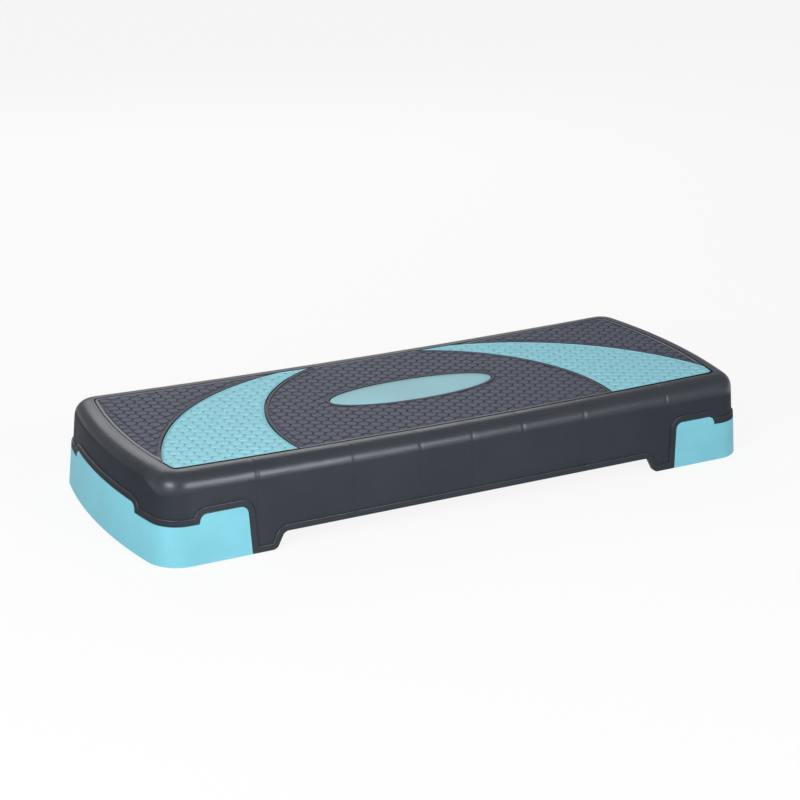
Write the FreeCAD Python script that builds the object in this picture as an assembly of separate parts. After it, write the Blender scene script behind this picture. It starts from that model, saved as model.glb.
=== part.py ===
import FreeCAD, Part
import math
import os
from FreeCAD import Vector

# Aerobic step platform with two end risers that slide down to raise it.
# Origin at the middle of the floor under it, X along its length, -Y its front, Z up. Millimetres.

# Overall sizes
LENGTH = 780.0
WIDTH = 300.0
HEIGHT = 100.0
TOP_DIP = 5.0
END_BOW_RADIUS = 630.0
CORNER_RADIUS = 38.0
DRAFT_ANGLE = 5.0
TOP_EDGE_RADIUS = 18.0

# Deck walls, the proud lip along their lower edge, and the top panel
DECK_WALL = 3.0
LIP_PROUD = 2.0
LIP_HEIGHT = 7.0
LIP_EDGE_RADIUS = 1.2
TOP_PANEL = 5.0
PLASTIC_BOTTOM = 0.8

# Lower edge of the deck's long sides and ends, measured from the ends, the sides and the top
ARCH_HEIGHT = 19.0
FOOT_FROM_END = 118.0
FOOT_LENGTH = 28.0
FOOT_FLANK_RUN = 9.5
FOOT_RADIUS = 8.0
NOTCH_DROP = 44.5
NOTCH_FROM_END = 59.0
NOTCH_LEAN = 3.0
NOTCH_RADIUS = 9.0
SKIRT_DROP = 54.7
STEP_RUN = 2.0
STEP_RADIUS = 9.0
END_NOTCH_FROM_SIDE = 62.0

# Ribs under the top panel
RIB = 2.0
MIDDLE_RIB_DROP = 38.0
END_RIB_DROP = 20.0
MIDDLE_RIB_PLACES = (0.0, 66.0, 107.0, 148.0)
LAST_RIB_FROM_END = 128.0
LONG_RIB_FROM_SIDE = 75.0

# Feet of the deck and the rubber pads in them
FOOT_PILLAR_WALL = 2.5
FOOT_PILLAR_DEPTH = 16.0
FOOT_PILLAR_INSET = 6.0
FOOT_FLOOR = 5.0
PAD_THICKNESS = 3.0
PAD_CLEARANCE = 0.2
PAD_MARGIN = 5.0
PAD_CORNER = 2.0
RISER_PAD_LENGTH = 24.0
RISER_PAD_WIDTH = 60.0
RISER_PAD_FROM_END = 36.0
RISER_PAD_FROM_SIDE = 60.0

# Top mats and the badge
RIM_INSET = 32.0
MAT_CORNER_RADIUS = 6.0
MAT_THICKNESS = 2.5
MAT_GLUE = 0.3
MAT_GAP = 0.5
RIM_GROOVE = 0.8
INNER_ARC_FROM_END = 189.0
INNER_ARC_BACK = 70.4
INNER_ARC_RADIUS = 216.5
OUTER_ARC_FROM_FRONT = 22.8
OUTER_ARC_BACK = 113.0
OUTER_ARC_RADIUS = 305.0
BADGE_HALF_LENGTH = 106.0
BADGE_HALF_WIDTH = 32.5

# Honeycomb on the mats: columns of hexagonal pads along X, every other one shifted half a pitch along Y
COLUMN_STEP = 11.65
PAD_PITCH = 13.2
FIRST_PAD_X = 0.65
FIRST_PAD_Y = -5.8
GROOVE_WIDTH = 1.9
GROOVE_DEPTH = 1.0
DARK_BAND = 4.3
CRESCENT_BAND = 1.0

# Risers: outer wall, ledge under the deck's edge, upstand behind the skirt, floor and posts
RISER_WALL = 3.0
EDGE_CLEARANCE = 0.6
LEDGE = 2.5
UPSTAND_CLEARANCE = 1.0
UPSTAND_WALL = 2.5
UPSTAND_DROP = 25.0
RISER_FLOOR = 4.0
RISER_FLOOR_LENGTH = 92.0
RISER_RIB = 3.0
RISER_RIB_TOP = 40.0
POST_FROM_END = 72.0
POST_FROM_SIDE = 55.0
POST_LENGTH = 26.0
POST_WIDTH = 40.0
POST_WALL = 3.0
POST_DROP = 14.0
POST_ABOVE_WINDOW = 8.0
SLEEVE_CLEARANCE = 0.5
SLEEVE_WALL = 2.5
SLEEVE_BOTTOM = 9.0
POST_HEADROOM = 4.0

# Lock bolts, the beds that they slide in and the keepers under them
BOLT_LENGTH = 44.0
BOLT_WIDTH = 24.0
BOLT_HEIGHT = 8.0
BOLT_BOTTOM = 20.0
BOLT_TRAVEL = 12.0
BOLT_TIP_SETBACK = 1.5
BOLT_TIP_CHAMFER = 1.5
BOLT_CLEARANCE = 0.3
THUMB_LENGTH = 14.0
THUMB_WIDTH = 16.0
THUMB_DROP = 9.0
THUMB_OFFSET = 9.0
THUMB_GROOVE = 1.2
BED_CHEEK = 6.0
BED_ROOF = 3.0
KEEPER = 3.0
SCREW_DIAMETER = 3.0
SCREW_LENGTH = 14.0
SCREW_HEAD_DIAMETER = 6.0
SCREW_HEAD = 2.0
SCREW_CLEARANCE = 0.2
SCREW_SOCKET = 2.5
SCREW_SOCKET_DEPTH = 1.2

# Places worked out from the sizes above
DRAFT = math.tan(math.radians(DRAFT_ANGLE))
BEYOND = 20.0
TOUCHING = 0.01
HALF_LENGTH = LENGTH / 2
HALF_WIDTH = WIDTH / 2
FOOT_OUTER = HALF_LENGTH - FOOT_FROM_END
FOOT_INNER = FOOT_OUTER - FOOT_LENGTH
NOTCH_END = HALF_LENGTH - NOTCH_FROM_END
NOTCH_HEIGHT = HEIGHT - NOTCH_DROP
SKIRT_HEIGHT = HEIGHT - SKIRT_DROP
END_NOTCH_HALF = HALF_WIDTH - END_NOTCH_FROM_SIDE
MIDDLE_RIB_BOTTOM = HEIGHT - MIDDLE_RIB_DROP
END_RIB_BOTTOM = HEIGHT - END_RIB_DROP
LAST_RIB = HALF_LENGTH - LAST_RIB_FROM_END
LONG_RIB_Y = HALF_WIDTH - LONG_RIB_FROM_SIDE
RISER_PAD_X = HALF_LENGTH - RISER_PAD_FROM_END
RISER_PAD_Y = HALF_WIDTH - RISER_PAD_FROM_SIDE
MAT_HALF_WIDTH = HALF_WIDTH - RIM_INSET
UPSTAND_TOP = HEIGHT - UPSTAND_DROP
RISER_FLOOR_INNER = HALF_LENGTH - RISER_FLOOR_LENGTH
POST_X = HALF_LENGTH - POST_FROM_END
POST_Y = HALF_WIDTH - POST_FROM_SIDE
POST_TOP = HEIGHT - POST_DROP
RISE = POST_TOP - POST_ABOVE_WINDOW - BOLT_BOTTOM - BOLT_HEIGHT
WALL_INSET = LIP_PROUD
WALL_INNER_INSET = LIP_PROUD + DECK_WALL
UPSTAND_INSET = WALL_INNER_INSET + UPSTAND_CLEARANCE
UPSTAND_INNER_INSET = UPSTAND_INSET + UPSTAND_WALL
SLEEVE_HALF_X = POST_LENGTH / 2 + SLEEVE_CLEARANCE
SLEEVE_HALF_Y = POST_WIDTH / 2 + SLEEVE_CLEARANCE
SLEEVE_OUTER_X = SLEEVE_HALF_X + SLEEVE_WALL
SLEEVE_OUTER_Y = SLEEVE_HALF_Y + SLEEVE_WALL
BOLT_TIP = POST_X - SLEEVE_HALF_X - BOLT_TIP_SETBACK
BOLT_TAIL = BOLT_TIP - BOLT_LENGTH
BED_INNER = BOLT_TAIL - BOLT_CLEARANCE
BED_OUTER = POST_X - SLEEVE_OUTER_X
BED_HALF = BOLT_WIDTH / 2 + BOLT_CLEARANCE
KEEPER_TOP = BOLT_BOTTOM - BOLT_CLEARANCE
KEEPER_BOTTOM = KEEPER_TOP - KEEPER
BED_CEILING = BOLT_BOTTOM + BOLT_HEIGHT + BOLT_CLEARANCE
SCREW_X = (BED_INNER + BED_OUTER) / 2
SCREW_Y = BED_HALF + BED_CHEEK / 2
THUMB_X = BOLT_TAIL + THUMB_OFFSET
SIDES = (("left", -1), ("right", 1))
FACES = (("front", -1), ("back", 1))


def save(name, shape):
    shape.exportStep(os.path.join("parts", name + ".step"))


def box(x0, x1, y0, y1, z0, z1):
    low_x, low_y = min(x0, x1), min(y0, y1)
    return Part.makeBox(abs(x1 - x0), abs(y1 - y0), z1 - z0, Vector(low_x, low_y, z0))


def joined(shapes):
    """One solid out of shapes that touch or overlap."""
    whole = shapes[0].fuse(shapes[1:])
    return whole.removeSplitter()


def mirrored_x(shape):
    return shape.mirror(Vector(0, 0, 0), Vector(1, 0, 0))


def on_side(shape, side):
    """A shape drawn on the right, moved to its own side."""
    if side > 0:
        return shape
    return mirrored_x(shape)


def on_face(shape, face):
    """A shape drawn at the back, moved to its own face."""
    if face > 0:
        return shape
    return shape.mirror(Vector(0, 0, 0), Vector(0, 1, 0))


def outline(inset, z, corner_radius=None):
    """The plan outline: straight sides, bowed ends and round corners, drawn in by inset."""
    half_width = HALF_WIDTH - inset
    radius = CORNER_RADIUS - inset if corner_radius is None else corner_radius
    bow = END_BOW_RADIUS - inset
    bow_x = HALF_LENGTH - END_BOW_RADIUS
    corner_y = half_width - radius
    corner_x = bow_x + math.sqrt((bow - radius) ** 2 - corner_y ** 2)
    turn = math.atan2(corner_y, corner_x - bow_x)
    middle = (math.pi / 2 + turn) / 2
    start = (corner_x, half_width)
    through = (corner_x + radius * math.cos(middle), corner_y + radius * math.sin(middle))
    end = (corner_x + radius * math.cos(turn), corner_y + radius * math.sin(turn))

    def at(point, side, face):
        return Vector(point[0] * side, point[1] * face, z)

    def corner(side, face):
        return Part.Arc(at(start, side, face), at(through, side, face), at(end, side, face)).toShape()

    def bowed_end(side):
        return Part.Arc(at(end, side, -1), Vector((bow_x + bow) * side, 0, z), at(end, side, 1)).toShape()

    def straight(face):
        return Part.LineSegment(at(start, -1, face), at(start, 1, face)).toShape()

    return Part.Wire([
        straight(-1), corner(1, -1), bowed_end(1), corner(1, 1),
        straight(1), corner(-1, 1), bowed_end(-1), corner(-1, -1)])


def drafted(inset, z0, z1):
    """A solid of the plan outline whose walls lean in as they rise; inset counts at the lowest plastic."""
    low = outline(inset + (z0 - PLASTIC_BOTTOM) * DRAFT, z0)
    high = outline(inset + (z1 - PLASTIC_BOTTOM) * DRAFT, z1)
    faces = []
    for face in Part.makeLoft([low, high], True, True).Faces:
        flat = face.Surface.TypeId == "Part::GeomBSplineSurface"
        faces.append(Part.Face(face.OuterWire) if flat else face)
    solid = Part.makeSolid(Part.makeShell(faces))
    if solid.Volume < 0:
        solid.reverse()
    return solid


def drafted_ring(inset, thickness, z0, z1):
    """A drafted wall that follows the plan outline."""
    return drafted(inset, z0, z1).cut(drafted(inset + thickness, z0, z1))


def above_top(drop):
    """Everything higher than the dipped top surface, lowered by drop."""
    reach = HALF_LENGTH + BEYOND
    depth = HALF_WIDTH + BEYOND
    edge = HEIGHT - drop + TOP_DIP * ((2 * reach / LENGTH) ** 2 - 1)
    ceiling = HEIGHT + 2 * BEYOND
    left = Vector(-reach, -depth, edge)
    right = Vector(reach, -depth, edge)
    curve = Part.Arc(left, Vector(0, -depth, HEIGHT - drop - TOP_DIP), right).toShape()
    corners = [right, Vector(reach, -depth, ceiling), Vector(-reach, -depth, ceiling), left]
    face = Part.Face(Part.Wire([curve] + Part.makePolygon(corners).Edges))
    return face.extrude(Vector(0, 2 * depth, 0))


def deck_block(inset, drop, radius):
    """The deck's outer form: drafted sides, dipped top and a round top edge."""
    block = drafted(inset, 0, HEIGHT + BEYOND).cut(above_top(drop))
    top = max(block.Faces, key=lambda face: face.CenterOfMass.z)
    return block.makeFillet(radius, top.Edges)


def rounded(points, place):
    """A closed outline through points of (across, up, corner radius), put in space by place."""
    edges = []
    count = len(points)
    stops = []
    for i in range(count):
        across, up, radius = points[i]
        before, after = points[i - 1], points[(i + 1) % count]
        here = Vector(across, up, 0)
        back = (Vector(before[0], before[1], 0) - here).normalize()
        ahead = (Vector(after[0], after[1], 0) - here).normalize()
        half = back.getAngle(ahead) / 2
        if radius == 0:
            stops.append((here, None, here))
            continue
        cut = radius / math.tan(half)
        inward = (back + ahead).normalize()
        middle = here + inward * (radius / math.sin(half) - radius)
        stops.append((here + back * cut, middle, here + ahead * cut))
    for i in range(count):
        first, middle, last = stops[i]
        if middle is not None:
            edges.append(Part.Arc(place(first), place(middle), place(last)).toShape())
        edges.append(Part.LineSegment(place(last), place(stops[(i + 1) % count][0])).toShape())
    return Part.Wire(edges)


def side_opening():
    """The space below the lower edge of a long side, seen from the front."""
    reach = HALF_LENGTH + BEYOND
    half = [
        (reach, SKIRT_HEIGHT, 0),
        (NOTCH_END, SKIRT_HEIGHT, 0),
        (NOTCH_END - STEP_RUN, NOTCH_HEIGHT, STEP_RADIUS),
        (FOOT_OUTER + NOTCH_LEAN, NOTCH_HEIGHT, NOTCH_RADIUS),
        (FOOT_OUTER, PLASTIC_BOTTOM, 0),
        (FOOT_INNER, PLASTIC_BOTTOM, FOOT_RADIUS),
        (FOOT_INNER - FOOT_FLANK_RUN, ARCH_HEIGHT, FOOT_RADIUS)]
    other = [(-across, up, radius) for across, up, radius in reversed(half)]
    floor = [(-reach, -BEYOND, 0), (reach, -BEYOND, 0)]
    depth = HALF_WIDTH + BEYOND
    return rounded(half + other + floor, lambda p: Vector(p.x, -depth, p.y))


def end_opening():
    """The space below the raised part of an end's lower edge, seen from the end."""
    half = [
        (END_NOTCH_HALF, SKIRT_HEIGHT, 0),
        (END_NOTCH_HALF - STEP_RUN, NOTCH_HEIGHT, STEP_RADIUS)]
    other = [(-across, up, radius) for across, up, radius in reversed(half)]
    floor = [(-END_NOTCH_HALF, -BEYOND, 0), (END_NOTCH_HALF, -BEYOND, 0)]
    reach = HALF_LENGTH + BEYOND
    return rounded(half + other + floor, lambda p: Vector(-reach, p.x, p.y))


def space_under_edge(growth):
    """Everything below the deck's lower edge, with the edge moved by growth."""
    side = side_opening()
    end = end_opening()
    if growth != 0:
        side = side.makeOffset2D(growth)
        end = end.makeOffset2D(growth)
    along_width = Part.Face(side).extrude(Vector(0, WIDTH + 2 * BEYOND, 0))
    along_length = Part.Face(end).extrude(Vector(LENGTH + 2 * BEYOND, 0, 0))
    reach = HALF_LENGTH + 3 * BEYOND
    depth = HALF_WIDTH + 3 * BEYOND
    ends = [box(NOTCH_END * side, reach * side, -depth, depth, -3 * BEYOND, HEIGHT) for name, side in SIDES]
    return along_width.fuse([along_length.common(end_box) for end_box in ends])


def lies_on(edge, shape):
    """Whether an edge runs along the faces of a shape."""
    faces = Part.makeCompound(shape.Faces)
    return all(faces.distToShape(Part.Vertex(point))[0] < TOUCHING for point in edge.discretize(5))


def lip():
    """The proud lip along the deck's lower edge, with its upper edge rounded."""
    top = NOTCH_HEIGHT + 2 * LIP_HEIGHT
    upper = space_under_edge(LIP_HEIGHT)
    band = drafted_ring(0, LIP_PROUD + DECK_WALL / 2, 0, top).common(upper).cut(space_under_edge(0))
    outside = drafted(0, 0, top)
    edges = [edge for edge in band.Edges if lies_on(edge, outside) and lies_on(edge, upper)]
    return band.makeFillet(LIP_EDGE_RADIUS, edges)


def deck_ribs():
    """Cross and long ribs under the top panel; those over the risers are shallower."""
    depth = HALF_WIDTH
    reach = HALF_LENGTH
    ribs = []
    before_last = (MIDDLE_RIB_PLACES[-1] + LAST_RIB) / 2
    for place in MIDDLE_RIB_PLACES + (before_last, LAST_RIB):
        for side in ((1,) if place == 0 else (1, -1)):
            x = place * side
            ribs.append(box(x - RIB / 2, x + RIB / 2, -depth, depth, MIDDLE_RIB_BOTTOM, HEIGHT))
    middle_end = LAST_RIB + RIB / 2
    for place in (-LONG_RIB_Y, 0.0, LONG_RIB_Y):
        ribs.append(box(-middle_end, middle_end, place - RIB / 2, place + RIB / 2, MIDDLE_RIB_BOTTOM, HEIGHT))
    for name, side in SIDES:
        for place in (-POST_Y, 0.0, POST_Y):
            ribs.append(box(middle_end * side, reach * side, place - RIB / 2, place + RIB / 2,
                            END_RIB_BOTTOM, HEIGHT))
        x = POST_X * side
        ribs.append(box(x - RIB / 2, x + RIB / 2, -depth, depth, END_RIB_BOTTOM, HEIGHT))
    return ribs


def foot_pillar_size():
    """Lowest and highest X of a right-hand foot's pillar, set in to stay out of sight behind the flank."""
    return FOOT_INNER + FOOT_PILLAR_INSET, FOOT_OUTER - FOOT_PILLAR_WALL


def foot_pillar():
    """A hollow pillar behind a foot, back right, up to the top panel and with a floor."""
    x0, x1 = foot_pillar_size()
    y1 = HALF_WIDTH
    y0 = y1 - FOOT_PILLAR_DEPTH
    wall = FOOT_PILLAR_WALL
    pillar = box(x0, x1, y0, y1, PLASTIC_BOTTOM, HEIGHT)
    hollow = box(x0 + wall, x1 - wall, y0 + wall, y1, PLASTIC_BOTTOM + FOOT_FLOOR, HEIGHT)
    hollow = hollow.common(drafted(WALL_INNER_INSET, 0, HEIGHT))
    return pillar.cut(hollow)


def sleeve(hollow):
    """A post's sleeve in the deck, back right, or the space inside it."""
    if hollow:
        half_x, half_y = SLEEVE_HALF_X, SLEEVE_HALF_Y
        return box(POST_X - half_x, POST_X + half_x, POST_Y - half_y, POST_Y + half_y,
                   SLEEVE_BOTTOM - BEYOND, POST_TOP + POST_HEADROOM)
    half_x, half_y = SLEEVE_OUTER_X, SLEEVE_OUTER_Y
    return box(POST_X - half_x, POST_X + half_x, POST_Y - half_y, POST_Y + half_y, SLEEVE_BOTTOM, HEIGHT)


def lock_bed(hollow):
    """The box under the top panel that a lock bolt slides in, back right, or the space inside it."""
    if hollow:
        return box(BED_INNER - BEYOND, POST_X, POST_Y - BED_HALF, POST_Y + BED_HALF, 0, BED_CEILING)
    outer = BED_HALF + BED_CHEEK
    block = box(BED_INNER, BED_OUTER, POST_Y - outer, POST_Y + outer, KEEPER_TOP, HEIGHT)
    inside = box(BED_INNER, BED_OUTER, POST_Y - BED_HALF, POST_Y + BED_HALF, BED_CEILING + BED_ROOF, HEIGHT)
    return block.cut(inside)


def screw_places():
    """Centres of a keeper's two screws, back right."""
    return [(SCREW_X, POST_Y - SCREW_Y), (SCREW_X, POST_Y + SCREW_Y)]


def screw_holes():
    radius = SCREW_DIAMETER / 2 + SCREW_CLEARANCE
    length = KEEPER + SCREW_LENGTH + SCREW_CLEARANCE
    return [Part.makeCylinder(radius, length, Vector(x, y, KEEPER_BOTTOM)) for x, y in screw_places()]


def foot_pad_block(clearance):
    """A deck foot's rubber pad, back right, grown by clearance for its pocket."""
    x0, x1 = foot_pillar_size()
    y1 = HALF_WIDTH - PAD_MARGIN
    y0 = HALF_WIDTH - FOOT_PILLAR_DEPTH + FOOT_PILLAR_WALL
    inset = FOOT_PILLAR_WALL
    return pad_block(x0 + inset, x1 - inset, y0, y1, clearance)


def riser_pad_block(clearance):
    """A riser's rubber pad, back right, grown by clearance for its pocket."""
    half_x = RISER_PAD_LENGTH / 2
    half_y = RISER_PAD_WIDTH / 2
    return pad_block(RISER_PAD_X - half_x, RISER_PAD_X + half_x,
                     RISER_PAD_Y - half_y, RISER_PAD_Y + half_y, clearance)


def pad_block(x0, x1, y0, y1, clearance):
    block = box(x0 - clearance, x1 + clearance, y0 - clearance, y1 + clearance, 0, PAD_THICKNESS)
    upright = [edge for edge in block.Edges if abs(edge.BoundBox.ZLength) > PAD_THICKNESS / 2]
    return block.makeFillet(PAD_CORNER, upright)


def four_times(shape):
    """A back right shape in all four corners."""
    return [on_face(on_side(shape, side), face) for name, side in SIDES for other, face in FACES]


def deck_shell():
    thin = deck_block(WALL_INSET, 0, TOP_EDGE_RADIUS)
    hollow = deck_block(WALL_INNER_INSET, TOP_PANEL, TOP_EDGE_RADIUS - DECK_WALL)
    walls = thin.cut(hollow).cut(space_under_edge(0))
    inner = deck_ribs()
    for piece in (foot_pillar(), sleeve(False), lock_bed(False)):
        inner += four_times(piece)
    room = deck_block(WALL_INSET + DECK_WALL / 2, TOP_PANEL - DECK_WALL / 2, TOP_EDGE_RADIUS - DECK_WALL / 2)
    inner = inner[0].fuse(inner[1:]).common(room)
    shell = walls.fuse([lip(), inner])
    spaces = [sleeve(True), lock_bed(True), foot_pad_block(PAD_CLEARANCE)] + screw_holes()
    for space in spaces:
        shell = shell.cut(four_times(space))
    recess = mat_prism(-RIM_GROOVE).common(above_top(MAT_THICKNESS + MAT_GLUE))
    return shell.cut(recess).removeSplitter()


def mat_prism(gap):
    """An upright prism of the whole mat area, drawn in by gap."""
    wire = outline(RIM_INSET + gap, HEIGHT / 2, MAT_CORNER_RADIUS - gap)
    return Part.Face(wire).extrude(Vector(0, 0, HEIGHT))


def mat_slab():
    """The whole mat area between its seat and the top surface."""
    return mat_prism(MAT_GAP).common(above_top(MAT_THICKNESS)).cut(above_top(0))


def upright_disc(x, y, radius):
    return Part.makeCylinder(radius, HEIGHT, Vector(x, y, HEIGHT / 2))


def disc_through(start, end, radius, growth):
    """An upright disc whose edge runs from start back to end, bulging to the left, grown by growth."""
    middle = (start + end) / 2
    half = (end - start) / 2
    reach = math.sqrt(radius ** 2 - half.Length ** 2)
    centre = middle + Vector(half.y, -half.x, 0).normalize() * reach
    return upright_disc(centre.x, centre.y, radius + growth)


def inner_disc(growth):
    """The round edge of the centre mat on the left, grown by growth."""
    start = Vector(INNER_ARC_FROM_END - HALF_LENGTH, -MAT_HALF_WIDTH, 0)
    end = Vector(-INNER_ARC_BACK, MAT_HALF_WIDTH, 0)
    return disc_through(start, end, INNER_ARC_RADIUS, growth)


def outer_disc(growth):
    """The round outer edge of the left crescent, from the bowed end to the back, grown by growth."""
    y = OUTER_ARC_FROM_FRONT - MAT_HALF_WIDTH
    bow = math.sqrt((END_BOW_RADIUS - RIM_INSET) ** 2 - y ** 2)
    start = Vector(END_BOW_RADIUS - HALF_LENGTH - bow, y, 0)
    end = Vector(-OUTER_ARC_BACK, MAT_HALF_WIDTH, 0)
    return disc_through(start, end, OUTER_ARC_RADIUS, growth)


def badge_prism(growth):
    ellipse = Part.Ellipse(Vector(0, 0, HEIGHT / 2), BADGE_HALF_LENGTH + growth, BADGE_HALF_WIDTH + growth)
    return Part.Face(Part.Wire(ellipse.toShape())).extrude(Vector(0, 0, HEIGHT))


def left_half():
    return box(-LENGTH, 0, -WIDTH, WIDTH, 0, 2 * HEIGHT)


def left_crescent_plan(inset):
    """An upright prism of the left crescent's plan, drawn in by inset."""
    return mat_prism(inset).common(left_half()).common(outer_disc(-inset)).cut(inner_disc(inset))


def left_end_plan(inset):
    """An upright prism of the left end mat's plan, drawn in by inset."""
    rest = mat_prism(inset).common(left_half()).cut(outer_disc(inset)).cut(inner_disc(inset))
    return max(rest.Solids, key=lambda solid: solid.Volume)


def centre_plan(inset):
    """An upright prism of the centre mat's plan, drawn in by inset."""
    both = inner_disc(-inset).common(mirrored_x(inner_disc(-inset)))
    return mat_prism(inset).common(both).cut(badge_prism(inset))


def pad_face(x, y):
    """The flat outline of one hexagonal pad, with two of its sides along X."""
    half = (PAD_PITCH - GROOVE_WIDTH) / 2
    reach = 2 * COLUMN_STEP / 3 * (1 - GROOVE_WIDTH / PAD_PITCH)
    corners = [(reach, 0), (reach / 2, half), (-reach / 2, half),
               (-reach, 0), (-reach / 2, -half), (reach / 2, -half), (reach, 0)]
    return Part.Face(Part.makePolygon([Vector(x + dx, y + dy, HEIGHT / 2) for dx, dy in corners]))


def pad_centres():
    """Centres of the honeycomb's pads over the whole mat area."""
    columns = math.ceil(HALF_LENGTH / COLUMN_STEP)
    rows = math.ceil(HALF_WIDTH / PAD_PITCH)
    for column in range(-columns, columns + 1):
        for row in range(-rows, rows + 1):
            shift = column % 2 / 2
            yield FIRST_PAD_X + column * COLUMN_STEP, FIRST_PAD_Y + (row + shift) * PAD_PITCH


def honeycomb_grooves(plan):
    """The grooves between the pads that have their centres inside an upright prism."""
    base = min(plan.Faces, key=lambda face: face.CenterOfMass.z)
    pads = [pad_face(x, y) for x, y in pad_centres() if plan.isInside(Vector(x, y, HEIGHT), TOUCHING, False)]
    net = base.cut(pads)
    return net.extrude(Vector(0, 0, HEIGHT)).common(above_top(GROOVE_DEPTH))


def grip_mat(plan, band):
    """A mat with a honeycomb inside a flat band."""
    return mat_slab().common(plan(MAT_GAP)).cut(honeycomb_grooves(plan(MAT_GAP + band)))


def left_crescent_mat():
    return grip_mat(left_crescent_plan, CRESCENT_BAND)


def left_end_grip_mat():
    return grip_mat(left_end_plan, DARK_BAND)


def centre_grip_mat():
    return grip_mat(centre_plan, DARK_BAND)


def centre_badge():
    return mat_slab().common(badge_prism(-MAT_GAP))


def post():
    """One hollow riser post, back right, with a window for the bolt at each height."""
    half_x, half_y = POST_LENGTH / 2, POST_WIDTH / 2
    foot = PLASTIC_BOTTOM + RISER_FLOOR / 2
    outside = box(POST_X - half_x, POST_X + half_x, POST_Y - half_y, POST_Y + half_y, foot, POST_TOP)
    half_x, half_y = half_x - POST_WALL, half_y - POST_WALL
    inside = box(POST_X - half_x, POST_X + half_x, POST_Y - half_y, POST_Y + half_y,
                 PLASTIC_BOTTOM + RISER_FLOOR, POST_TOP)
    tube = outside.cut(inside)
    for height in (0, RISE):
        tube = tube.cut(bolt_window(height))
    return tube


def bolt_window(height):
    """The window in a post for the bolt when the riser is lowered by height, back right."""
    half = BOLT_WIDTH / 2 + BOLT_CLEARANCE
    low = BOLT_BOTTOM - BOLT_CLEARANCE + height
    high = BOLT_BOTTOM + BOLT_HEIGHT + BOLT_CLEARANCE + height
    return box(POST_X - POST_LENGTH, POST_X, POST_Y - half, POST_Y + half, low, high)


def right_riser():
    reach = HALF_LENGTH + BEYOND
    depth = HALF_WIDTH + BEYOND
    bottom = PLASTIC_BOTTOM
    own_end = box((FOOT_INNER + FOOT_OUTER) / 2, reach, -depth, depth, -BEYOND, HEIGHT)
    below = space_under_edge(-EDGE_CLEARANCE).common(own_end)
    core = space_under_edge(-EDGE_CLEARANCE - LEDGE).common(own_end)
    wall = drafted_ring(0, RISER_WALL, bottom, NOTCH_HEIGHT).common(below)
    ledge = drafted_ring(0, UPSTAND_INNER_INSET, bottom, NOTCH_HEIGHT).common(below).cut(core)
    wing_end = FOOT_OUTER + EDGE_CLEARANCE
    upstand = drafted_ring(UPSTAND_INSET, UPSTAND_WALL, bottom, UPSTAND_TOP)
    upstand = upstand.common(box(wing_end + NOTCH_LEAN, reach, -depth, depth, 0, HEIGHT))
    plate = drafted(0, bottom, bottom + RISER_FLOOR)
    plate = plate.common(box(RISER_FLOOR_INNER, reach, -depth, depth, 0, HEIGHT))
    rib_half = POST_Y - SLEEVE_OUTER_Y - SLEEVE_WALL
    cross_rib = box(POST_X - RISER_RIB / 2, POST_X + RISER_RIB / 2, -rib_half, rib_half,
                    bottom, RISER_RIB_TOP)
    long_rib = box(RISER_FLOOR_INNER, reach, -RISER_RIB / 2, RISER_RIB / 2, bottom, RISER_RIB_TOP)
    long_rib = long_rib.common(drafted(UPSTAND_INSET + UPSTAND_WALL / 2, bottom, RISER_RIB_TOP))
    posts = [on_face(post(), face) for name, face in FACES]
    riser = wall.fuse([ledge, upstand, plate, cross_rib, long_rib] + posts)
    pockets = [on_face(riser_pad_block(PAD_CLEARANCE), face) for name, face in FACES]
    return riser.cut(pockets).removeSplitter()


def lock_bolt():
    """A sliding bolt with a chamfered tip and a grooved thumb grip under it, back right."""
    half = BOLT_WIDTH / 2
    top = BOLT_BOTTOM + BOLT_HEIGHT
    bar = box(BOLT_TAIL, BOLT_TIP, POST_Y - half, POST_Y + half, BOLT_BOTTOM, top)
    tip = [edge for edge in bar.Edges if edge.BoundBox.XMin > BOLT_TIP - BOLT_TIP_CHAMFER]
    bar = bar.makeChamfer(BOLT_TIP_CHAMFER, tip)
    half = THUMB_WIDTH / 2
    low = BOLT_BOTTOM - THUMB_DROP
    thumb = box(THUMB_X, THUMB_X + THUMB_LENGTH, POST_Y - half, POST_Y + half, low, BOLT_BOTTOM)
    pitch = THUMB_LENGTH / 4
    for step in (1, 2, 3):
        centre = Vector(THUMB_X + step * pitch, POST_Y - half, low)
        thumb = thumb.cut(Part.makeCylinder(THUMB_GROOVE, THUMB_WIDTH, centre, Vector(0, 1, 0)))
    return joined([bar, thumb])


def lock_keeper():
    """The plate that carries a bolt, slotted for its thumb grip, back right."""
    outer = BED_HALF + BED_CHEEK
    plate = box(BED_INNER, BED_OUTER, POST_Y - outer, POST_Y + outer, KEEPER_BOTTOM, KEEPER_TOP)
    half = THUMB_WIDTH / 2 + BOLT_CLEARANCE
    slot = box(THUMB_X - BOLT_CLEARANCE, THUMB_X + THUMB_LENGTH + BOLT_TRAVEL + BOLT_CLEARANCE,
               POST_Y - half, POST_Y + half, KEEPER_BOTTOM, KEEPER_TOP)
    return plate.cut([slot] + screw_holes())


def keeper_screw(x, y):
    """A pan head screw, driven up through a keeper."""
    head = Part.makeCylinder(SCREW_HEAD_DIAMETER / 2, SCREW_HEAD, Vector(x, y, KEEPER_BOTTOM - SCREW_HEAD))
    shank = Part.makeCylinder(SCREW_DIAMETER / 2, SCREW_LENGTH, Vector(x, y, KEEPER_BOTTOM))
    half = SCREW_SOCKET / 2
    low = KEEPER_BOTTOM - SCREW_HEAD
    socket = box(x - half, x + half, y - half, y + half, low, low + SCREW_SOCKET_DEPTH)
    return joined([head, shank]).cut(socket)


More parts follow.
